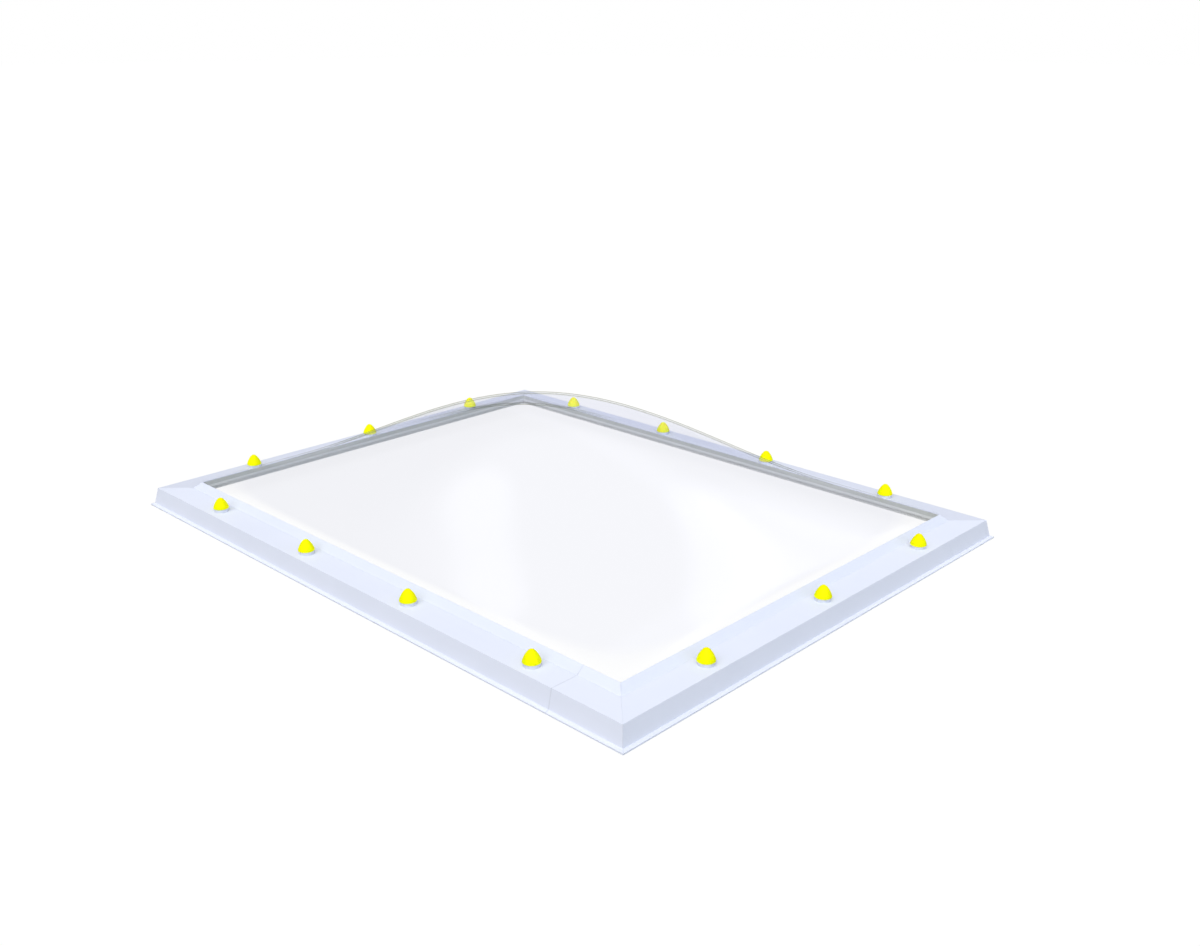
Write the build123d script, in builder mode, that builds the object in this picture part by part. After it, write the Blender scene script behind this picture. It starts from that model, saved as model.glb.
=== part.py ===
"""Fixed dome rooflight: a mitred PVC rail frame with a clear blown dome and capped screw fixings.

Millimetres, +Z up. The origin is the middle of the footprint, on the plane of the frame's lowest edge.
X runs along the long sides and Y along the short sides.
"""
import os
from math import atan, atan2, cos, degrees, pi, radians, sin

from build123d import *

# Overall footprint, over the drip lips
length = 1400.0
width = 1100.0

# Rail section, measured inwards from the outer edge of the lip and up from its underside
lip_reach = 6.5
lip_edge_thickness = 2.75
lip_rise = 2.15
skirt_batter = 7.15
flange_top = 38.8
web_underside = 36.0
wall = 2.8
rim_crest_inset = 82.0
rim_run = 14.0
rim_height = 12.7
cover_lip = 1.4

# Joints between the rail lengths
mitre_gap = 0.12
splice_gap = 0.25
splice_from_corner = 160.0

# Inner gasket and the slot that holds its tongue
gasket_thickness = 3.0
tongue_reach = 2.6
tongue_height = 1.6
tongue_drop = 6.5
slot_clearance = 0.2

# Clear dome
dome_thickness = 3.0
dome_rise = 200.0
dome_grid = 7

# Foam strip under the web, from beside the screws to the web's inner edge
kerb_seal_to_fixing = 8.1
kerb_seal_height = 8.0

# Screw fixings
fixing_to_rim = 27.1
corner_to_fixing = 232.5
long_side_count = 4
short_side_count = 3
thread_radius = 2.5
shank_radius = 1.8
thread_start = 2.0
screw_reach = 25.0
screw_point = 5.0
head_radius = 7.0
head_height = 4.2
washer_radius = 14.0
washer_height = 6.6
hole_clearance = 0.25

# Screw cap: a bulging cone with a ball crown, on a short straight foot; the lean is in degrees off upright
cap_radius = 15.6
cap_height = 21.8
cap_foot = 1.6
cap_flank_lean = 15.7
cap_crown_radius = 7.6
cap_fit = 0.2
cap_socket_depth = 6.0
cap_socket_wall = 2.0
cap_groove_depth = 5.0
cap_rim_wall = 2.2

# Cutting tools run past the faces that they cut by this much
overrun = 10.0

os.makedirs("parts", exist_ok=True)


def write(builder, name):
    builder.part.label = name
    export_step(builder.part, f"parts/{name}.step")


# Each side is drawn on a plane square to its run: local x is the inset, local y the height
side_planes = {
    "front": Plane(origin=(0, -width / 2, 0), x_dir=(0, 1, 0), z_dir=(1, 0, 0)),
    "right": Plane(origin=(length / 2, 0, 0), x_dir=(-1, 0, 0), z_dir=(0, 1, 0)),
    "back": Plane(origin=(0, width / 2, 0), x_dir=(0, -1, 0), z_dir=(-1, 0, 0)),
    "left": Plane(origin=(-length / 2, 0, 0), x_dir=(1, 0, 0), z_dir=(0, -1, 0)),
}
side_runs = {"front": length, "right": width, "back": length, "left": width}

# The rim's foot, the screws and the foam strip keep their places from the rim's crest
rim_foot_inset = rim_crest_inset - rim_run
fixing_inset = rim_foot_inset - fixing_to_rim
kerb_seal_inset = fixing_inset + kerb_seal_to_fixing


def mitre(side, end):
    """The upright plane that cuts one end of a side at 45 degrees, half a mitre gap short."""
    plane = side_planes[side]
    corner = plane.from_local_coords(Vector(0, 0, end * side_runs[side] / 2))
    across = (plane.x_dir + plane.z_dir * end).normalized()
    return Plane(origin=corner - across * (mitre_gap / 2), z_dir=across)


def fixing_places(side, height):
    """Where the screws of one side stand, at the given height."""
    count = long_side_count if side in ("front", "back") else short_side_count
    pitch = (side_runs[side] - 2 * corner_to_fixing) / (count - 1)
    runs = [(step - (count - 1) / 2) * pitch for step in range(count)]
    return [side_planes[side].from_local_coords(Vector(fixing_inset, height, run)) for run in runs]


# Rail: lip, battered skirt, flat screw flange and a raised rim whose thin crest covers the gasket
skirt_foot = lip_edge_thickness + lip_rise
skirt_slope = skirt_batter / (flange_top - skirt_foot)
skirt_wall = wall / cos(atan(skirt_slope))
skirt_inset = lip_reach + skirt_batter
rim_slope = rim_height / rim_run
rim_crest = flange_top + rim_height
rail_inset = rim_crest_inset - gasket_thickness
rail_crest = rim_crest - gasket_thickness * rim_slope
tongue_top = rail_crest - tongue_drop
rail_outline = [
    (0, 0),
    (0, lip_edge_thickness),
    (lip_reach, skirt_foot),
    (skirt_inset, flange_top),
    (rim_foot_inset, flange_top),
    (rim_crest_inset, rim_crest),
    (rim_crest_inset, rim_crest - cover_lip),
    (rail_inset, rail_crest - cover_lip),
    (rail_inset, tongue_top + slot_clearance),
    (rail_inset - tongue_reach - slot_clearance, tongue_top + slot_clearance),
    (rail_inset - tongue_reach - slot_clearance, tongue_top - tongue_height - slot_clearance),
    (rail_inset, tongue_top - tongue_height - slot_clearance),
    (rail_inset, web_underside),
    (skirt_inset - (flange_top - web_underside) * skirt_slope + skirt_wall, web_underside),
    (lip_reach - skirt_foot * skirt_slope + skirt_wall, 0),
]


def rail_length(side):
    """One side's whole rail, mitred at both ends and drilled for its screws."""
    with BuildPart() as rail:
        with BuildSketch(side_planes[side]):
            with BuildLine():
                Polyline(*rail_outline, close=True)
            make_face()
        extrude(amount=side_runs[side] / 2, both=True)
        with Locations(*fixing_places(side, flange_top)):
            Hole(radius=thread_radius + hole_clearance, depth=flange_top - web_underside + overrun)
        split(bisect_by=mitre(side, -1), keep=Keep.BOTTOM)
        split(bisect_by=mitre(side, 1), keep=Keep.BOTTOM)
    return rail


for side in ("right", "back", "left"):
    write(rail_length(side), f"{side}_rail")

# The front rail is closed by a short length, butted to the long one
splice_x = length / 2 - splice_from_corner
with BuildPart() as front_long:
    add(rail_length("front").part)
    split(bisect_by=Plane(origin=(splice_x - splice_gap / 2, 0, 0), z_dir=(1, 0, 0)), keep=Keep.BOTTOM)
write(front_long, "front_rail_long")
with BuildPart() as front_short:
    add(rail_length("front").part)
    split(bisect_by=Plane(origin=(splice_x + splice_gap / 2, 0, 0), z_dir=(1, 0, 0)), keep=Keep.TOP)
write(front_short, "front_rail_short")

# Inner gasket: a grey strip on the rail's inner face, up under the rim's crest and held by a tongue
gasket_outline = [
    (rail_inset, web_underside),
    (rim_crest_inset, web_underside),
    (rim_crest_inset, rim_crest - cover_lip),
    (rail_inset, rail_crest - cover_lip),
    (rail_inset, tongue_top),
    (rail_inset - tongue_reach, tongue_top),
    (rail_inset - tongue_reach, tongue_top - tongue_height),
    (rail_inset, tongue_top - tongue_height),
]
for side, plane in side_planes.items():
    with BuildPart() as gasket:
        with BuildSketch(plane):
            with BuildLine():
                Polyline(*gasket_outline, close=True)
            make_face()
        extrude(amount=side_runs[side] / 2, both=True)
        split(bisect_by=mitre(side, -1), keep=Keep.BOTTOM)
        split(bisect_by=mitre(side, 1), keep=Keep.BOTTOM)
    write(gasket, f"{side}_gasket")

# Kerb seal: a foam strip on the underside of each web
kerb_seal_outline = [
    (kerb_seal_inset, web_underside - kerb_seal_height),
    (kerb_seal_inset, web_underside),
    (rail_inset, web_underside),
    (rail_inset, web_underside - kerb_seal_height),
]
for side, plane in side_planes.items():
    with BuildPart() as kerb_seal:
        with BuildSketch(plane):
            with BuildLine():
                Polyline(*kerb_seal_outline, close=True)
            make_face()
        extrude(amount=side_runs[side] / 2, both=True)
        split(bisect_by=mitre(side, -1), keep=Keep.BOTTOM)
        split(bisect_by=mitre(side, 1), keep=Keep.BOTTOM)
    write(kerb_seal, f"{side}_kerb_seal")

# Dome: a blown bubble on a turned-down edge that laps the rim and stands on the flange.
# The bubble is the first swelling of a sheet clamped round a rectangle: a cosine both ways.
sheet_drop = dome_thickness / cos(atan(rim_slope))
dome_crest = rim_crest + sheet_drop
edge_foot_inset = rim_foot_inset - sheet_drop / rim_slope
bay_length = length - 2 * rim_crest_inset
bay_width = width - 2 * rim_crest_inset


def bubble_height(along_share, across_share):
    """The outer face's height, where each share runs from -1 to 1 over the bay."""
    return dome_crest + dome_rise * cos(pi / 2 * along_share) * cos(pi / 2 * across_share)


grid_shares = [2 * step / (dome_grid - 1) - 1 for step in range(dome_grid)]
bubble_points = [
    [Vector(u * bay_length / 2, v * bay_width / 2, bubble_height(u, v)) for v in grid_shares]
    for u in grid_shares
]
bubble_skin = Face.make_surface_from_array_of_points(bubble_points)
with BuildPart() as dome:
    with BuildSketch(Plane.XY.offset(flange_top)):
        Rectangle(length - 2 * edge_foot_inset, width - 2 * edge_foot_inset)
    with BuildSketch(Plane.XY.offset(dome_crest)):
        Rectangle(bay_length, bay_width)
    loft()
    with BuildSketch(Plane.XY.offset(flange_top)):
        Rectangle(length - 2 * rim_foot_inset, width - 2 * rim_foot_inset)
    with BuildSketch(Plane.XY.offset(rim_crest)):
        Rectangle(bay_length, bay_width)
    loft(mode=Mode.SUBTRACT)
    with BuildSketch(Plane.XY.offset(rim_crest)):
        Rectangle(bay_length, bay_width)
    extrude(amount=sheet_drop, mode=Mode.SUBTRACT)
    extrude(bubble_skin, amount=sheet_drop, dir=(0, 0, -1))
write(dome, "dome")

# Fixings: a sealing washer on the flange, a screw through both, and a cap pushed over the screw's head
every_side = list(side_planes)
head_seat = flange_top + washer_height
washer_places = [place for side in every_side for place in fixing_places(side, flange_top)]
head_places = [place for side in every_side for place in fixing_places(side, head_seat)]
thread_drop = head_seat - web_underside + thread_start

with BuildPart() as washers:
    with Locations(*washer_places):
        Cylinder(washer_radius, washer_height, align=(Align.CENTER, Align.CENTER, Align.MIN))
    with Locations(*head_places):
        Hole(radius=thread_radius + hole_clearance, depth=washer_height)
write(washers, "sealing_washers")

with BuildPart() as screw:
    with BuildSketch(Plane.XZ):
        with BuildLine():
            Polyline(
                (0, head_height),
                (0, -screw_reach),
                (thread_radius, screw_point - screw_reach),
                (thread_radius, -thread_drop),
                (shank_radius, -thread_drop),
                (shank_radius, 0),
                (head_radius, 0),
                (head_radius, head_height),
                close=True,
            )
        make_face()
    revolve(axis=Axis.Z)
with BuildPart() as screws:
    with Locations(*head_places):
        add(screw.part)
write(screws, "fixing_screws")

# Cap: its flank is an arc that leans in from the foot's edge and runs smoothly into the ball crown.
# A socket underneath grips the screw's head.
crown_centre = cap_height - cap_crown_radius
crown_lift = crown_centre - cap_foot
lean = radians(cap_flank_lean)
flank_spare = cap_radius * cos(lean) - crown_lift * sin(lean) - cap_crown_radius
flank_radius = (cap_radius**2 + crown_lift**2 - cap_crown_radius**2) / (2 * flank_spare)
flank_centre = (cap_radius - flank_radius * cos(lean), cap_foot - flank_radius * sin(lean))
crown_start = degrees(atan2(crown_centre - flank_centre[1], -flank_centre[0]))
with BuildPart() as cap:
    with BuildSketch(Plane.XZ):
        with BuildLine():
            Polyline((0, cap_height), (0, 0), (cap_radius, 0), (cap_radius, cap_foot))
            CenterArc(flank_centre, flank_radius, cap_flank_lean, crown_start - cap_flank_lean)
            CenterArc((0, crown_centre), cap_crown_radius, crown_start, degrees(pi / 2) - crown_start)
        make_face()
    revolve(axis=Axis.Z)
    with BuildSketch(Plane.XY):
        Circle(head_radius + cap_fit)
    extrude(amount=cap_socket_depth, mode=Mode.SUBTRACT)
    with BuildSketch(Plane.XY):
        Circle(cap_radius - cap_rim_wall)
        Circle(head_radius + cap_fit + cap_socket_wall, mode=Mode.SUBTRACT)
    extrude(amount=cap_groove_depth, mode=Mode.SUBTRACT)
for side in every_side:
    with BuildPart() as side_caps:
        with Locations(*fixing_places(side, head_seat)):
            add(cap.part)
    write(side_caps, f"{side}_screw_caps")
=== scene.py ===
from math import atan, atan2, cos, pi, radians, sin

import bpy
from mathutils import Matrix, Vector


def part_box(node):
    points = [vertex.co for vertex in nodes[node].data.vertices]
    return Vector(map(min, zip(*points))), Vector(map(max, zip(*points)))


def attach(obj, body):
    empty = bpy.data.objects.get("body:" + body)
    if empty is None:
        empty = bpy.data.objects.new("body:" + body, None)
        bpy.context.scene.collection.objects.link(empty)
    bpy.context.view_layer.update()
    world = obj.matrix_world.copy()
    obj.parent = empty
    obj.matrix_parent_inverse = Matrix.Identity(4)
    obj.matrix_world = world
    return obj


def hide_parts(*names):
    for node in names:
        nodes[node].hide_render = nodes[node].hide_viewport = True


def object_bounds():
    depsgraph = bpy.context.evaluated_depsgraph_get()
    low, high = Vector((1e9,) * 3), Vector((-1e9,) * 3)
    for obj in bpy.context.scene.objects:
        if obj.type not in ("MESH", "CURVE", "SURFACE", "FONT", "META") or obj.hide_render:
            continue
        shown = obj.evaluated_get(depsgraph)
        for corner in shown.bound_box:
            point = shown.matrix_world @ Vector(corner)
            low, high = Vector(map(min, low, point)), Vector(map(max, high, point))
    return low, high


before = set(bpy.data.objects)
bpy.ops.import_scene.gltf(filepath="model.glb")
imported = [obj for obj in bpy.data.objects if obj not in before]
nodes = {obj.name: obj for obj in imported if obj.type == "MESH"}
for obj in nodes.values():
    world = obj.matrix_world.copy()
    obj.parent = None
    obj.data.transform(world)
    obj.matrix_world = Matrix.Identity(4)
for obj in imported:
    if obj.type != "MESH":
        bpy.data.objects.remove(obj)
cad_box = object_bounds()


# Rails: the white frame that carries the dome and is screwed to the roof kerb.
# Rigid PVC, extruded in one section and mitred at the corners; the front one is butted and sealed.
# The flange is faintly crowned as the extrusion cools, so it catches the light a little outwards.
def new_material(name):
    """An empty material with its tree, its surface shader and its object coordinates."""
    material = bpy.data.materials.new(name)
    material.use_nodes = True
    tree = material.node_tree
    place = tree.nodes.new("ShaderNodeTexCoord").outputs["Object"]
    return material, tree, tree.nodes["Principled BSDF"], place


def grain(tree, place, scale, stretch=(1.0, 1.0, 1.0), detail=3.0):
    """Noise at a scale per metre, drawn out along the axes whose stretch is small."""
    mapping = tree.nodes.new("ShaderNodeMapping")
    mapping.inputs["Scale"].default_value = stretch
    tree.links.new(place, mapping.inputs["Vector"])
    noise = tree.nodes.new("ShaderNodeTexNoise")
    noise.inputs["Scale"].default_value = scale
    noise.inputs["Detail"].default_value = detail
    tree.links.new(mapping.outputs["Vector"], noise.inputs["Vector"])
    return noise.outputs["Fac"]


def tint(tree, factor, low, high, start=0.0, end=1.0, blend="LINEAR"):
    """Colours from low to high as the factor goes from start to end."""
    ramp = tree.nodes.new("ShaderNodeValToRGB")
    ramp.color_ramp.interpolation = blend
    ramp.color_ramp.elements[0].position = start
    ramp.color_ramp.elements[0].color = (*low, 1.0)
    ramp.color_ramp.elements[1].position = end
    ramp.color_ramp.elements[1].color = (*high, 1.0)
    tree.links.new(factor, ramp.inputs["Fac"])
    return ramp.outputs["Color"]


def spread(tree, factor, low, high):
    """The factor's range brought to low and high."""
    span = tree.nodes.new("ShaderNodeMapRange")
    span.inputs["To Min"].default_value = low
    span.inputs["To Max"].default_value = high
    tree.links.new(factor, span.inputs["Value"])
    return span.outputs["Result"]


def raised(tree, factor, distance, strength=1.0):
    """A bump of that height in metres, as a normal."""
    bump = tree.nodes.new("ShaderNodeBump")
    bump.inputs["Strength"].default_value = strength
    bump.inputs["Distance"].default_value = distance
    tree.links.new(factor, bump.inputs["Height"])
    return bump.outputs["Normal"]


def dress(names, material):
    """Gives CAD nodes a material of this file."""
    for name in names:
        nodes[name].data.materials.clear()
        nodes[name].data.materials.append(material)


def feed(tree, node, values):
    """Links each value that is a socket to the node's inputs in turn, and sets each that is plain."""
    for socket, value in zip(node.inputs, values):
        if isinstance(value, bpy.types.NodeSocket):
            tree.links.new(value, socket)
        else:
            socket.default_value = value


def vector_math(tree, operation, first, second):
    """One sum of vectors in a node tree, of sockets or plain values."""
    node = tree.nodes.new("ShaderNodeVectorMath")
    node.operation = operation
    feed(tree, node, (first, second))
    return node.outputs["Vector"]


def number(tree, operation, first, second=0.0):
    """One sum in a node tree, of sockets or plain values."""
    node = tree.nodes.new("ShaderNodeMath")
    node.operation = operation
    feed(tree, node, (first, second))
    return node.outputs["Value"]


pvc_pale = (0.782, 0.817, 0.972)
pvc_deep = (0.768, 0.805, 0.960)
pvc_rough = (0.44, 0.58)
pvc_gloss = 0.12
cloud_scale = 9.0
die_line_scale = 900.0
die_line_stretch = 0.02
die_line_height = 0.00003
crown_tilt = 0.17
flat_limit = 0.99
seam_at = (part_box("front_rail_long")[1].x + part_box("front_rail_short")[0].x) / 2
seam_reach = 0.0020
seam_sealant = (0.70, 0.732, 0.87)


def sealed_seam(tree, place, colour):
    """The rail's colour with a hairline of grey sealant, wiped into the butt joint across the run."""
    along = tree.nodes.new("ShaderNodeSeparateXYZ")
    tree.links.new(place, along.inputs["Vector"])
    away = number(tree, "ABSOLUTE", number(tree, "SUBTRACT", along.outputs["X"], seam_at))
    smear = tree.nodes.new("ShaderNodeMapRange")
    smear.interpolation_type = "SMOOTHSTEP"
    smear.inputs["From Max"].default_value = seam_reach
    smear.inputs["To Min"].default_value = 1.0
    smear.inputs["To Max"].default_value = 0.0
    tree.links.new(away, smear.inputs["Value"])
    mixed = tree.nodes.new("ShaderNodeMix")
    mixed.data_type = "RGBA"
    tree.links.new(smear.outputs["Result"], mixed.inputs["Factor"])
    tree.links.new(colour, mixed.inputs[6])
    mixed.inputs[7].default_value = (*seam_sealant, 1.0)
    return mixed.outputs[2]


def extruded_pvc(name, run, outward, sealed=False):
    """White PVC with fine die lines along the run, and the crown of the flange along the outward axis."""
    material, tree, surface, place = new_material(name)
    along = tuple(die_line_stretch if axis else 1.0 for axis in run)
    die_lines = grain(tree, place, die_line_scale, along)
    cloud = grain(tree, place, cloud_scale)
    colour = tint(tree, cloud, pvc_deep, pvc_pale, 0.35, 0.65)
    if sealed:
        colour = sealed_seam(tree, place, colour)
    tree.links.new(colour, surface.inputs["Base Color"])
    tree.links.new(spread(tree, die_lines, *pvc_rough), surface.inputs["Roughness"])
    surface.inputs["Specular IOR Level"].default_value = pvc_gloss
    facing = tree.nodes.new("ShaderNodeSeparateXYZ")
    tree.links.new(tree.nodes.new("ShaderNodeNewGeometry").outputs["True Normal"], facing.inputs["Vector"])
    level = number(tree, "GREATER_THAN", facing.outputs["Z"], flat_limit)
    side = vector_math(tree, "SIGN", place, (0.0, 0.0, 0.0))
    lean = vector_math(tree, "MULTIPLY", side, tuple(crown_tilt * axis for axis in outward))
    lean = vector_math(tree, "MULTIPLY", lean, level)
    crowned = vector_math(tree, "ADD", raised(tree, die_lines, die_line_height, 0.4), lean)
    tree.links.new(vector_math(tree, "NORMALIZE", crowned, (0.0, 0.0, 0.0)), surface.inputs["Normal"])
    return material


front_lengths = ("front_rail_long", "front_rail_short")
dress(front_lengths, extruded_pvc("white_pvc_front", (1, 0, 0), (0, 1, 0), sealed=True))
dress(["back_rail"], extruded_pvc("white_pvc_back", (1, 0, 0), (0, 1, 0)))
dress(["right_rail", "left_rail"], extruded_pvc("white_pvc_short_sides", (0, 1, 0), (1, 0, 0)))


# Inner gaskets: a grey strip along each rail's inner face, that closes the joint under the dome.
# Grey thermoplastic rubber; its lower part is painted lighter than the upper, a painted light against the
# shade that falls low down on it.
# A tongue along its back is pushed into the rail's slot.
sides = ("front", "right", "back", "left")
gasket_low, gasket_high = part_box("front_gasket")
# Painted light: above this share of its height the strip has its own grey, below it a lighter grey that
# lifts the shade on its lower part.
painted_light_share = 0.40
painted_light_start = gasket_low.z + painted_light_share * (gasket_high.z - gasket_low.z)
painted_light_blend = 0.0012
gasket_lower_painted_light = (0.87, 0.89, 0.92)
gasket_upper = (0.645, 0.67, 0.68)
gasket_rough = (0.62, 0.82)
skin_scale = 700.0
skin_height = 0.00008
rubber, tree, surface, place = new_material("grey_gasket")
height = tree.nodes.new("ShaderNodeSeparateXYZ")
tree.links.new(place, height.inputs["Vector"])
painted_light_band = tree.nodes.new("ShaderNodeMapRange")
painted_light_band.inputs["From Min"].default_value = painted_light_start - painted_light_blend / 2
painted_light_band.inputs["From Max"].default_value = painted_light_start + painted_light_blend / 2
tree.links.new(height.outputs["Z"], painted_light_band.inputs["Value"])
# Painted light: the strip's lower part takes the lighter grey.
tree.links.new(tint(tree, painted_light_band.outputs["Result"], gasket_lower_painted_light, gasket_upper), surface.inputs["Base Color"])
skin = grain(tree, place, skin_scale)
tree.links.new(spread(tree, skin, *gasket_rough), surface.inputs["Roughness"])
tree.links.new(raised(tree, skin, skin_height, 0.5), surface.inputs["Normal"])
dress([f"{side}_gasket" for side in sides], rubber)


# Kerb seals: a soft strip under each rail's web, that the frame beds down on when it is screwed to the kerb.
# White closed-cell foam, cut from a sheet and stuck on by its own adhesive.
foam_cell = (0.80, 0.81, 0.82)
foam_skin = (0.90, 0.91, 0.92)
foam_rough = (0.85, 0.97)
foam_rough_scale = 120.0
cell_scale = 850.0
cell_depth = 0.0004
foam, tree, surface, place = new_material("white_foam")
cells = tree.nodes.new("ShaderNodeTexVoronoi")
cells.inputs["Scale"].default_value = cell_scale
tree.links.new(place, cells.inputs["Vector"])
tree.links.new(tint(tree, cells.outputs["Distance"], foam_cell, foam_skin), surface.inputs["Base Color"])
foam_wear = grain(tree, place, foam_rough_scale)
tree.links.new(spread(tree, foam_wear, *foam_rough), surface.inputs["Roughness"])
tree.links.new(raised(tree, cells.outputs["Distance"], cell_depth, 0.6), surface.inputs["Normal"])
dress([f"{side}_kerb_seal" for side in sides], foam)


# Sealing washers: a thick disc on the flange round each screw, that keeps the rain out of its hole.
# White rubber, moulded as wide as the cap that closes it, with a hole for the screw.
rubber_deep = (0.67, 0.705, 0.84)
rubber_pale = (0.71, 0.745, 0.88)
rubber_rough = (0.62, 0.80)
bloom_scale = 260.0
rubber_grain_scale = 1500.0
rubber_grain_height = 0.00006
washer_rubber, tree, surface, place = new_material("white_rubber")
bloom = grain(tree, place, bloom_scale)
tree.links.new(tint(tree, bloom, rubber_deep, rubber_pale, 0.3, 0.7), surface.inputs["Base Color"])
tree.links.new(spread(tree, bloom, *rubber_rough), surface.inputs["Roughness"])
rubber_grain = grain(tree, place, rubber_grain_scale)
tree.links.new(raised(tree, rubber_grain, rubber_grain_height, 0.5), surface.inputs["Normal"])
dress(["sealing_washers"], washer_rubber)


# Fixing screws: fourteen wood screws that hold the frame down on its kerb.
# Stainless steel, with a flat head and a rolled thread, driven through the washer and the flange.
def turned(name, profile, steps):
    """A closed solid of revolution: the profile runs from the axis back to the axis."""
    rings = []
    points = []
    for radius, level in profile:
        ring = []
        for step in range(1 if radius == 0 else steps):
            angle = 2 * pi * step / steps
            ring.append(len(points))
            points.append((radius * cos(angle), radius * sin(angle), level))
        rings.append(ring)
    faces = []
    for lower, upper in zip(rings, rings[1:]):
        for step in range(steps):
            after = (step + 1) % steps
            corners = [lower[step % len(lower)], lower[after % len(lower)]]
            corners += [upper[after % len(upper)], upper[step % len(upper)]]
            faces.append(list(dict.fromkeys(corners)))
    mesh = bpy.data.meshes.new(name)
    mesh.from_pydata(points, [], faces)
    return mesh


def tree_input(tree, name, kind):
    """A named input of a node tree."""
    return tree.interface.new_socket(name, in_out="INPUT", socket_type=kind)


def point(tree, x, y, z):
    """A vector from three sockets."""
    node = tree.nodes.new("ShaderNodeCombineXYZ")
    feed(tree, node, (x, y, z))
    return node.outputs["Vector"]


def fixing_pattern():
    """Sets copies of the piece in a row on each side: long sides lie along X and short sides along Y."""
    tree = bpy.data.node_groups.new("fixing_pattern", "GeometryNodeTree")
    tree_input(tree, "Piece", "NodeSocketGeometry")
    for name in ("Long Reach", "Short Reach", "Half Length", "Half Width", "Seat"):
        tree_input(tree, name, "NodeSocketFloat")
    tree_input(tree, "Long Count", "NodeSocketInt")
    tree_input(tree, "Short Count", "NodeSocketInt")
    tree_input(tree, "Material", "NodeSocketMaterial")
    tree.interface.new_socket("Fixings", in_out="OUTPUT", socket_type="NodeSocketGeometry")
    given = tree.nodes.new("NodeGroupInput").outputs
    rows = tree.nodes.new("GeometryNodeJoinGeometry")
    for sign in (-1.0, 1.0):
        for long_side in (True, False):
            reach = given["Long Reach" if long_side else "Short Reach"]
            back = number(tree, "MULTIPLY", reach, -1.0)
            offset = number(tree, "MULTIPLY", given["Half Width" if long_side else "Half Length"], sign)
            row = tree.nodes.new("GeometryNodeMeshLine")
            row.mode = "END_POINTS"
            ends = [(end, offset) if long_side else (offset, end) for end in (back, reach)]
            tree.links.new(given["Long Count" if long_side else "Short Count"], row.inputs["Count"])
            tree.links.new(point(tree, *ends[0], given["Seat"]), row.inputs["Start Location"])
            tree.links.new(point(tree, *ends[1], given["Seat"]), row.inputs["Offset"])
            tree.links.new(row.outputs["Mesh"], rows.inputs["Geometry"])
    placed = tree.nodes.new("GeometryNodeInstanceOnPoints")
    tree.links.new(rows.outputs["Geometry"], placed.inputs["Points"])
    tree.links.new(given["Piece"], placed.inputs["Instance"])
    real = tree.nodes.new("GeometryNodeRealizeInstances")
    tree.links.new(placed.outputs["Instances"], real.inputs["Geometry"])
    painted = tree.nodes.new("GeometryNodeSetMaterial")
    tree.links.new(real.outputs["Geometry"], painted.inputs["Geometry"])
    tree.links.new(given["Material"], painted.inputs["Material"])
    tree.links.new(painted.outputs["Geometry"], tree.nodes.new("NodeGroupOutput").inputs["Fixings"])
    return tree


def baked(name, tree, values, mesh):
    """Runs a node tree on the mesh with its named inputs set, and keeps what comes out as a plain mesh."""
    piece = bpy.data.objects.new(name, mesh)
    bpy.context.scene.collection.objects.link(piece)
    modifier = piece.modifiers.new(tree.name, "NODES")
    modifier.node_group = tree
    for item in tree.interface.items_tree:
        if item.in_out == "INPUT" and item.socket_type != "NodeSocketGeometry":
            modifier[item.identifier] = values[item.name]
    graph = bpy.context.evaluated_depsgraph_get()
    made = bpy.data.meshes.new_from_object(piece.evaluated_get(graph), depsgraph=graph)
    piece.modifiers.clear()
    piece.data = made
    return piece


screw_low, screw_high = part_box("fixing_screws")
washer_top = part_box("sealing_washers")[1].z
cap_low, cap_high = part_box("front_screw_caps")
cap_radius = (cap_high.y - cap_low.y) / 2
head_radius = 0.0070
head_height = screw_high.z - washer_top
fixing_places = {
    "Long Count": 4,
    "Short Count": 3,
    "Long Reach": cap_high.x - cap_radius,
    "Short Reach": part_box("right_screw_caps")[1].y - cap_radius,
    "Half Length": screw_high.x - head_radius,
    "Half Width": screw_high.y - head_radius,
    "Seat": washer_top,
}
shank_radius = 0.0018
thread_radius = 0.0025
thread_core = 0.0019
thread_pitch = 0.0022
thread_top = -0.0114
screw_end = screw_low.z - washer_top
screw_taper = 0.005
thread_crest_share = 0.30
thread_root_share = 0.60
tip_share = 0.15
tip_margin = 0.0004
recess_floor = 0.0022
recess_radius = 0.0024
head_round = ((0.0022, 0.0), (0.0006, 0.0009), (0.0, 0.0020))
head_bevel = 0.0004
screw_steps = 24
head_profile = [
    (0, recess_floor),
    (recess_radius, recess_floor),
    (recess_radius, head_height),
    *[(head_radius - inset, head_height - drop) for inset, drop in head_round],
    (head_radius, head_bevel),
    (head_radius - head_bevel, 0.0),
    (shank_radius, 0.0),
    (shank_radius, thread_top),
]
thread_profile = []
turns = int((thread_top - screw_end) / thread_pitch)
for turn in range(turns + 1):
    level = thread_top - turn * thread_pitch
    taper = min(1.0, max(tip_share, (level - screw_end) / screw_taper))
    thread_profile.append((thread_core * taper, level))
    thread_profile.append((thread_radius * taper, level - thread_crest_share * thread_pitch))
    thread_profile.append((thread_core * taper, level - thread_root_share * thread_pitch))
thread_profile = [spot for spot in thread_profile if spot[1] > screw_end + tip_margin]
screw_profile = head_profile + thread_profile + [(0, screw_end)]
screw_mesh = turned("fixing_screw", list(reversed(screw_profile)), screw_steps)

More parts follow.
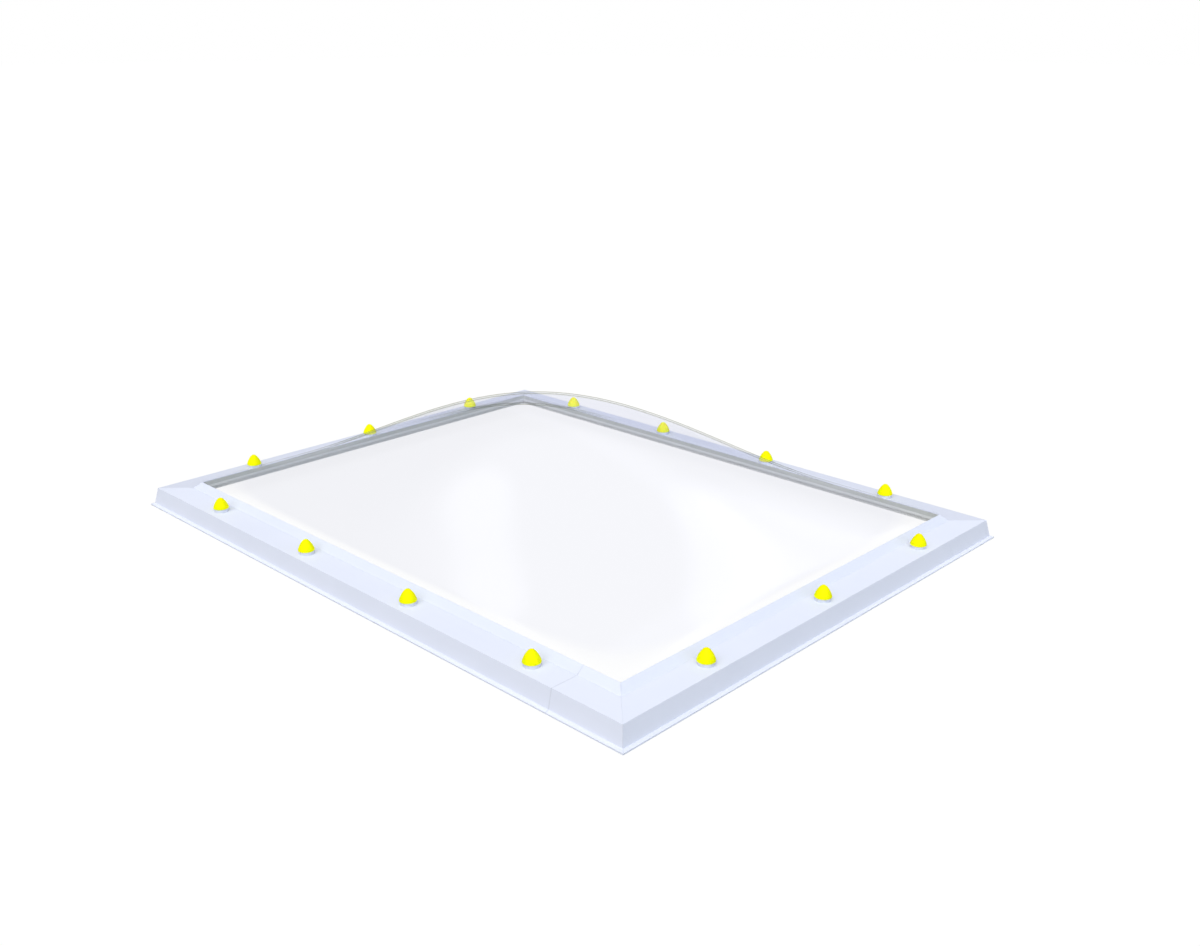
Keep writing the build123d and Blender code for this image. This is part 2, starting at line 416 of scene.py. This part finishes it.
steel_deep = (0.54, 0.54, 0.55)
steel_bright = (0.70, 0.70, 0.71)
steel_rough = (0.24, 0.40)
drawn_scale = 600.0
drawn_stretch = (1.0, 1.0, 0.15)
stainless, tree, surface, place = new_material("stainless_screw")
drawn = grain(tree, place, drawn_scale, drawn_stretch)
tree.links.new(tint(tree, drawn, steel_deep, steel_bright, 0.3, 0.7), surface.inputs["Base Color"])
tree.links.new(spread(tree, drawn, *steel_rough), surface.inputs["Roughness"])
surface.inputs["Metallic"].default_value = 1.0

pattern = fixing_pattern()
screws = baked("threaded_screws", pattern, {**fixing_places, "Material": stainless}, screw_mesh)
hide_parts("fixing_screws")
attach(screws, "root")


# Screw caps: a yellow cover pushed over each screw's head, to keep the weather off it.
# Moulded in one piece from polyethylene: a bulging cone with a ball crown on a short foot, hollow below.
cap_height = cap_high.z - cap_low.z
cap_foot = 0.0016
foot_round = 0.0006
flank_lean = radians(15.7)
crown_radius = 0.0076
socket_radius = 0.0072
socket_depth = 0.006
boss_radius = 0.0092
groove_depth = 0.005
rim_radius = 0.0134
round_steps = 4
flank_steps = 8
crown_steps = 10
cap_steps = 48
smooth_limit = 0.1
crown_centre = cap_height - crown_radius
crown_lift = crown_centre - cap_foot
flank_spare = cap_radius * cos(flank_lean) - crown_lift * sin(flank_lean) - crown_radius
flank_radius = (cap_radius**2 + crown_lift**2 - crown_radius**2) / (2 * flank_spare)
flank_centre = (cap_radius - flank_radius * cos(flank_lean), cap_foot - flank_radius * sin(flank_lean))
crown_start = atan2(crown_centre - flank_centre[1], -flank_centre[0])
cap_profile = [
    (0, socket_depth),
    (socket_radius, socket_depth),
    (socket_radius, 0.0),
    (boss_radius, 0.0),
    (boss_radius, groove_depth),
    (rim_radius, groove_depth),
    (rim_radius, 0.0),
]
for step in range(round_steps + 1):
    angle = pi / 2 * step / round_steps
    cap_profile.append((cap_radius - foot_round * (1 - sin(angle)), foot_round * (1 - cos(angle))))
for step in range(flank_steps):
    angle = flank_lean + (crown_start - flank_lean) * step / flank_steps
    flank_spot = (flank_centre[0] + flank_radius * cos(angle), flank_centre[1] + flank_radius * sin(angle))
    cap_profile.append(flank_spot)
for step in range(crown_steps):
    angle = crown_start + (pi / 2 - crown_start) * step / crown_steps
    cap_profile.append((crown_radius * cos(angle), crown_centre + crown_radius * sin(angle)))
cap_profile.append((0, cap_height))
cap_mesh = turned("screw_cap", cap_profile, cap_steps)
for face in cap_mesh.polygons:
    face.use_smooth = face.normal.z > smooth_limit
cap_mesh.update()

yellow_deep = (0.965, 0.960, 0.000)
yellow_pale = (0.990, 0.985, 0.001)
cap_rough = (0.46, 0.60)
cap_gloss = 0.05
cap_depth_share = 0.25
cap_depth = 0.004
peel_scale = 420.0
peel_height = 0.00005
moulded, tree, surface, place = new_material("yellow_cap")
peel = grain(tree, place, peel_scale)
tree.links.new(tint(tree, peel, yellow_deep, yellow_pale, 0.3, 0.7), surface.inputs["Base Color"])
tree.links.new(spread(tree, peel, *cap_rough), surface.inputs["Roughness"])
tree.links.new(raised(tree, peel, peel_height, 0.35), surface.inputs["Normal"])
surface.inputs["Specular IOR Level"].default_value = cap_gloss
surface.inputs["Subsurface Weight"].default_value = cap_depth_share
surface.inputs["Subsurface Scale"].default_value = cap_depth

caps = baked("screw_caps", pattern, {**fixing_places, "Material": moulded}, cap_mesh)
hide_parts(*[f"{side}_screw_caps" for side in sides])
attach(caps, "root")


# Dome: the window itself, one clear sheet that laps the rim all round and stands on the flange.
# Acrylic, heated, blown up by air in a rectangular clamp and trimmed, so it swells as a cosine both ways.
# Its edge is folded down over the rim and held by the sealant there.
weld_distance = 0.00001


def blown_dome():
    """A sheet over a rectangle: a cosine swelling, one ring of faces folded down to the foot, and a wall."""
    tree = bpy.data.node_groups.new("blown_dome", "GeometryNodeTree")
    bay_inputs = ("Bay Length", "Bay Width", "Crest", "Rise")
    foot_inputs = ("Foot Length", "Foot Width", "Foot Level", "Sheet Drop")
    for name in bay_inputs + foot_inputs + ("Inner Foot Length", "Inner Foot Width"):
        tree_input(tree, name, "NodeSocketFloat")
    tree_input(tree, "Cells", "NodeSocketInt")
    tree_input(tree, "Material", "NodeSocketMaterial")
    tree.interface.new_socket("Dome", in_out="OUTPUT", socket_type="NodeSocketGeometry")
    given = tree.nodes.new("NodeGroupInput").outputs
    cell = number(tree, "DIVIDE", 2.0, given["Cells"])
    sheet_size = number(tree, "ADD", number(tree, "MULTIPLY", cell, 2.0), 2.0)
    corners = number(tree, "ADD", given["Cells"], 3.0)
    sheet = tree.nodes.new("GeometryNodeMeshGrid")
    feed(tree, sheet, (sheet_size, sheet_size, corners, corners))
    share = tree.nodes.new("ShaderNodeSeparateXYZ")
    tree.links.new(tree.nodes.new("GeometryNodeInputPosition").outputs["Position"], share.inputs["Vector"])
    shares = share.outputs["X"], share.outputs["Y"]
    inside = [number(tree, "MAXIMUM", number(tree, "MINIMUM", value, 1.0), -1.0) for value in shares]
    furthest = number(tree, "MAXIMUM", *[number(tree, "ABSOLUTE", value) for value in shares])
    fold_start = number(tree, "ADD", number(tree, "MULTIPLY", cell, 0.5), 1.0)
    folded = number(tree, "GREATER_THAN", furthest, fold_start)
    swell = [number(tree, "COSINE", number(tree, "MULTIPLY", value, pi / 2)) for value in inside]
    swell = number(tree, "MULTIPLY", given["Rise"], number(tree, "MULTIPLY", *swell))

    def skin(crest, foot_length, foot_width):
        """Where a corner of the sheet goes on one face of the dome."""
        half = [number(tree, "MULTIPLY", value, 0.5) for value in (given["Bay Length"], given["Bay Width"])]
        foot = [number(tree, "MULTIPLY", value, 0.5) for value in (foot_length, foot_width)]
        in_bay = point(
            tree,
            number(tree, "MULTIPLY", inside[0], half[0]),
            number(tree, "MULTIPLY", inside[1], half[1]),
            number(tree, "ADD", crest, swell),
        )
        at_foot = point(
            tree,
            number(tree, "MULTIPLY", inside[0], foot[0]),
            number(tree, "MULTIPLY", inside[1], foot[1]),
            given["Foot Level"],
        )
        choice = tree.nodes.new("GeometryNodeSwitch")
        choice.input_type = "VECTOR"
        tree.links.new(folded, choice.inputs["Switch"])
        tree.links.new(in_bay, choice.inputs["False"])
        tree.links.new(at_foot, choice.inputs["True"])
        return choice.outputs["Output"]

    def moved(mesh, places, selection=None):
        """The mesh with its corners, or the selected ones, set to those places."""
        node = tree.nodes.new("GeometryNodeSetPosition")
        tree.links.new(mesh, node.inputs["Geometry"])
        tree.links.new(places, node.inputs["Position"])
        if selection is not None:
            tree.links.new(selection, node.inputs["Selection"])
        return node.outputs["Geometry"]

    inner_crest = number(tree, "SUBTRACT", given["Crest"], given["Sheet Drop"])
    outer_places = skin(given["Crest"], given["Foot Length"], given["Foot Width"])
    inner_places = skin(inner_crest, given["Inner Foot Length"], given["Inner Foot Width"])
    outer_face = moved(sheet.outputs["Mesh"], outer_places)
    turned_over = tree.nodes.new("GeometryNodeFlipFaces")
    tree.links.new(sheet.outputs["Mesh"], turned_over.inputs["Mesh"])
    wall = tree.nodes.new("GeometryNodeExtrudeMesh")
    wall.inputs["Offset Scale"].default_value = 0.0
    wall.inputs["Individual"].default_value = False
    tree.links.new(turned_over.outputs["Mesh"], wall.inputs["Mesh"])
    rest = tree.nodes.new("FunctionNodeBooleanMath")
    rest.operation = "NOT"
    tree.links.new(wall.outputs["Top"], rest.inputs[0])
    inner_face = moved(wall.outputs["Mesh"], inner_places, wall.outputs["Top"])
    both = tree.nodes.new("GeometryNodeJoinGeometry")
    tree.links.new(moved(inner_face, outer_places, rest.outputs["Boolean"]), both.inputs["Geometry"])
    tree.links.new(outer_face, both.inputs["Geometry"])
    closed = tree.nodes.new("GeometryNodeMergeByDistance")
    closed.inputs["Distance"].default_value = weld_distance
    tree.links.new(both.outputs["Geometry"], closed.inputs["Geometry"])
    level = tree.nodes.new("ShaderNodeSeparateXYZ")
    tree.links.new(tree.nodes.new("GeometryNodeInputPosition").outputs["Position"], level.inputs["Vector"])
    smooth = tree.nodes.new("GeometryNodeSetShadeSmooth")
    tree.links.new(closed.outputs["Geometry"], smooth.inputs["Geometry"])
    blown_part = number(tree, "GREATER_THAN", level.outputs["Z"], inner_crest)
    tree.links.new(blown_part, smooth.inputs["Shade Smooth"])
    real = tree.nodes.new("GeometryNodeRealizeInstances")
    tree.links.new(smooth.outputs["Geometry"], real.inputs["Geometry"])
    painted = tree.nodes.new("GeometryNodeSetMaterial")
    tree.links.new(real.outputs["Geometry"], painted.inputs["Geometry"])
    tree.links.new(given["Material"], painted.inputs["Material"])
    tree.links.new(painted.outputs["Geometry"], tree.nodes.new("NodeGroupOutput").inputs["Dome"])
    return tree


dome_low, dome_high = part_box("dome")
rim_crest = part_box("front_rail_long")[1].z
# Painted light: the folded edge is clearer than acrylic is, so the rim under it keeps its light.
fold_clear_painted_light = (0.9955, 0.9965, 0.998)
fold_end = 0.0042
bubble_start = 0.0090
# Partly the acrylic's own tint and partly painted shade on what is seen through the blown bubble.
bubble_tint_and_painted_shade = (0.968, 0.971, 0.9895)
bubble_edge_on = (0.62, 0.63, 0.555)
edge_on_start = 0.905
mirror_least = 0.006
mirror_plain = 0.030
mirror_edge_on = 0.05
mirror_power = 8.0
sheet_rough = (0.10, 0.16)
sheet_rough_scale = 40.0
wave_scale = 5.0
wave_height = 0.0006
acrylic, tree, surface, place = new_material("clear_acrylic")
tree.nodes.remove(surface)
edge_on = tree.nodes.new("ShaderNodeLayerWeight")
edge_on.inputs["Blend"].default_value = 0.5
height = tree.nodes.new("ShaderNodeSeparateXYZ")
tree.links.new(place, height.inputs["Vector"])
blown = tree.nodes.new("ShaderNodeMapRange")
blown.inputs["From Min"].default_value = rim_crest + fold_end
blown.inputs["From Max"].default_value = rim_crest + bubble_start
tree.links.new(height.outputs["Z"], blown.inputs["Value"])
# The sheet's clear colour: painted light on the fold, the acrylic's tint with painted shade on the bubble.
sheet_colour = tree.nodes.new("ShaderNodeMix")
sheet_colour.data_type = "RGBA"
tree.links.new(blown.outputs["Result"], sheet_colour.inputs["Factor"])
sheet_colour.inputs[6].default_value = (*fold_clear_painted_light, 1.0)
facing = edge_on.outputs["Facing"]
bubble_colour = tint(tree, facing, bubble_tint_and_painted_shade, bubble_edge_on, edge_on_start, blend="EASE")
tree.links.new(bubble_colour, sheet_colour.inputs[7])
clear_colour = sheet_colour.outputs[2]
mirror = number(tree, "MULTIPLY", number(tree, "POWER", facing, mirror_power), mirror_edge_on)
mirror = number(tree, "ADD", mirror, mirror_plain)
mirror = number(tree, "MULTIPLY", mirror, blown.outputs["Result"])
mirror = number(tree, "MAXIMUM", mirror, mirror_least)
waves = raised(tree, grain(tree, place, wave_scale), wave_height, 0.3)
through = tree.nodes.new("ShaderNodeBsdfTransparent")
tree.links.new(clear_colour, through.inputs["Color"])
gloss = tree.nodes.new("ShaderNodeBsdfGlossy")
tree.links.new(clear_colour, gloss.inputs["Color"])
sheet_wear = grain(tree, place, sheet_rough_scale)
tree.links.new(spread(tree, sheet_wear, *sheet_rough), gloss.inputs["Roughness"])
tree.links.new(waves, gloss.inputs["Normal"])
sheet_shader = tree.nodes.new("ShaderNodeMixShader")
tree.links.new(mirror, sheet_shader.inputs["Fac"])
tree.links.new(through.outputs["BSDF"], sheet_shader.inputs[1])
tree.links.new(gloss.outputs["BSDF"], sheet_shader.inputs[2])
tree.links.new(sheet_shader.outputs["Shader"], tree.nodes["Material Output"].inputs["Surface"])

sheet_thickness = 0.003
sealant = 0.0003
rim_run = 0.014
dome_cells = 56
rim_slope = (rim_crest - dome_low.z) / rim_run
crest_rise = sheet_thickness / cos(atan(rim_slope))
sheet_drop = crest_rise - sealant
sheet_foot = sheet_drop / rim_slope
dome_sizes = {
    "Bay Length": 2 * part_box("right_gasket")[0].x,
    "Bay Width": 2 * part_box("back_gasket")[0].y,
    "Crest": rim_crest + crest_rise,
    "Rise": dome_high.z - rim_crest - crest_rise,
    "Foot Length": dome_high.x - dome_low.x,
    "Foot Width": dome_high.y - dome_low.y,
    "Foot Level": dome_low.z + sealant,
    "Sheet Drop": sheet_drop,
    "Inner Foot Length": dome_high.x - dome_low.x - 2 * sheet_foot,
    "Inner Foot Width": dome_high.y - dome_low.y - 2 * sheet_foot,
    "Cells": dome_cells,
    "Material": acrylic,
}
dome = baked("clear_dome", blown_dome(), dome_sizes, bpy.data.meshes.new("clear_dome"))
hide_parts("dome")
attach(dome, "root")


# Floor: the plain pale ground of the studio that the rooflight is set down on.
# It is white to the camera and in reflections, and still takes the frame's soft shadow.
floor_half = 40.0
floor_gap = 0.0003
floor_level = cad_box[0].z - floor_gap
floor_corners = ((-1, -1), (1, -1), (1, 1), (-1, 1))
floor_bounce = (0.42, 0.42, 0.42)
floor_seen = (0.05, 0.05, 0.05)
floor_glow = 0.96
floor_mesh = bpy.data.meshes.new("studio_floor")
floor_points = [(x * floor_half, y * floor_half, floor_level) for x, y in floor_corners]
floor_mesh.from_pydata(floor_points, [], [(0, 1, 2, 3)])
floor = bpy.data.objects.new("studio_floor", floor_mesh)
bpy.context.scene.collection.objects.link(floor)


def seen_rays(tree):
    """One for rays of the camera, of mirrors and through glass, and zero for light that falls on things."""
    rays = tree.nodes.new("ShaderNodeLightPath").outputs
    seen = number(tree, "MAXIMUM", rays["Is Camera Ray"], rays["Is Glossy Ray"])
    return number(tree, "MAXIMUM", seen, rays["Is Transmission Ray"])


ground, tree, surface, _ = new_material("studio_floor")
seen = seen_rays(tree)
tree.links.new(tint(tree, seen, floor_bounce, floor_seen), surface.inputs["Base Color"])
surface.inputs["Roughness"].default_value = 0.9
surface.inputs["Specular IOR Level"].default_value = 0.0
surface.inputs["Emission Color"].default_value = (1.0, 1.0, 1.0, 1.0)
tree.links.new(spread(tree, seen, 0.0, floor_glow), surface.inputs["Emission Strength"])
floor_mesh.materials.append(ground)


# Studio light: a white surround, a large soft lamp high over the front, and weak ones right and behind.
# The lamps give each rail its own shade. In mirrors the surround is dimmer low down and has soft panels,
# which show as sheens on the dome.
world = bpy.data.worlds.new("studio")
bpy.context.scene.world = world
world.use_nodes = True
tree = world.node_tree
surround = tree.nodes["Background"]
surround.inputs["Color"].default_value = (1.0, 1.0, 1.0, 1.0)
sky = tree.nodes.new("ShaderNodeTexCoord").outputs["Generated"]
panels = {
    "left": ((-0.632, -0.013, 0.775), 0.9885, 0.9975),
    "back_low": ((-0.055, 0.786, 0.616), 0.9830, 0.9960),
    "back_high": ((-0.045, 0.673, 0.738), 0.9850, 0.9970),
    "back_foot": ((-0.060, 0.900, 0.420), 0.9750, 0.9970),
}
panel_light = 0.9
dusk_rise = (0.58, 0.74)
dusk_light = (0.05, 0.7)
surround_light = 0.35
rise = tree.nodes.new("ShaderNodeSeparateXYZ")
tree.links.new(sky, rise.inputs["Vector"])
dusk = tree.nodes.new("ShaderNodeMapRange")
dusk.interpolation_type = "SMOOTHSTEP"
dusk.inputs["From Min"].default_value, dusk.inputs["From Max"].default_value = dusk_rise
dusk.inputs["To Min"].default_value, dusk.inputs["To Max"].default_value = dusk_light
tree.links.new(rise.outputs["Z"], dusk.inputs["Value"])
glow = dusk.outputs["Result"]
for toward, start, full in panels.values():
    nearness = tree.nodes.new("ShaderNodeVectorMath")
    nearness.operation = "DOT_PRODUCT"
    nearness.inputs[1].default_value = Vector(toward).normalized()
    tree.links.new(sky, nearness.inputs[0])
    panel = tree.nodes.new("ShaderNodeMapRange")
    panel.interpolation_type = "SMOOTHSTEP"
    panel.inputs["From Min"].default_value = start
    panel.inputs["From Max"].default_value = full
    panel.inputs["To Max"].default_value = panel_light
    tree.links.new(nearness.outputs["Value"], panel.inputs["Value"])
    glow = number(tree, "ADD", panel.outputs["Result"], glow)
mirrored = tree.nodes.new("ShaderNodeMix")
tree.links.new(tree.nodes.new("ShaderNodeLightPath").outputs["Is Glossy Ray"], mirrored.inputs["Factor"])
tree.links.new(spread(tree, seen_rays(tree), surround_light, 1.0), mirrored.inputs["A"])
tree.links.new(glow, mirrored.inputs["B"])
tree.links.new(mirrored.outputs["Result"], surround.inputs["Strength"])

lamps = {
    "soft_lamp": ((0.233, -0.515, 0.825), 2.34, (1.0, 1.0, 0.94)),
    "cool_fill": ((0.95, -0.10, 0.25), 0.547, (0.72, 0.896, 1.0)),
    "back_fill": ((-0.30, 0.90, 0.32), 0.42, (0.74, 0.77, 1.0)),
}
lamp_spread = radians(70.0)
for name, (lamp_from, strength, colour) in lamps.items():
    lamp = bpy.data.lights.new(name, "SUN")
    lamp.energy = strength
    lamp.color = colour
    lamp.angle = lamp_spread
    lamp_object = bpy.data.objects.new(name, lamp)
    lamp_object.rotation_euler = Vector(lamp_from).to_track_quat("Z", "Y").to_euler()
    bpy.context.scene.collection.objects.link(lamp_object)
bpy.context.scene.view_settings.view_transform = "Standard"


# Camera: stands off the near corner at about waist height, turned 44 degrees from the front long side.
# Its place and lens come from the frame's straight edges in the photograph.
camera_place = (1.7098, -1.6398, 0.9619)
camera_back = (0.65427, -0.67563, 0.33982)
camera = bpy.data.cameras.new("camera")
camera.sensor_fit = "HORIZONTAL"
camera.sensor_width = 36.0
camera.lens = 36.535
camera_object = bpy.data.objects.new("camera", camera)
camera_object.location = camera_place
camera_object.rotation_euler = Vector(camera_back).to_track_quat("Z", "Y").to_euler()
bpy.context.scene.collection.objects.link(camera_object)
bpy.context.scene.camera = camera_object
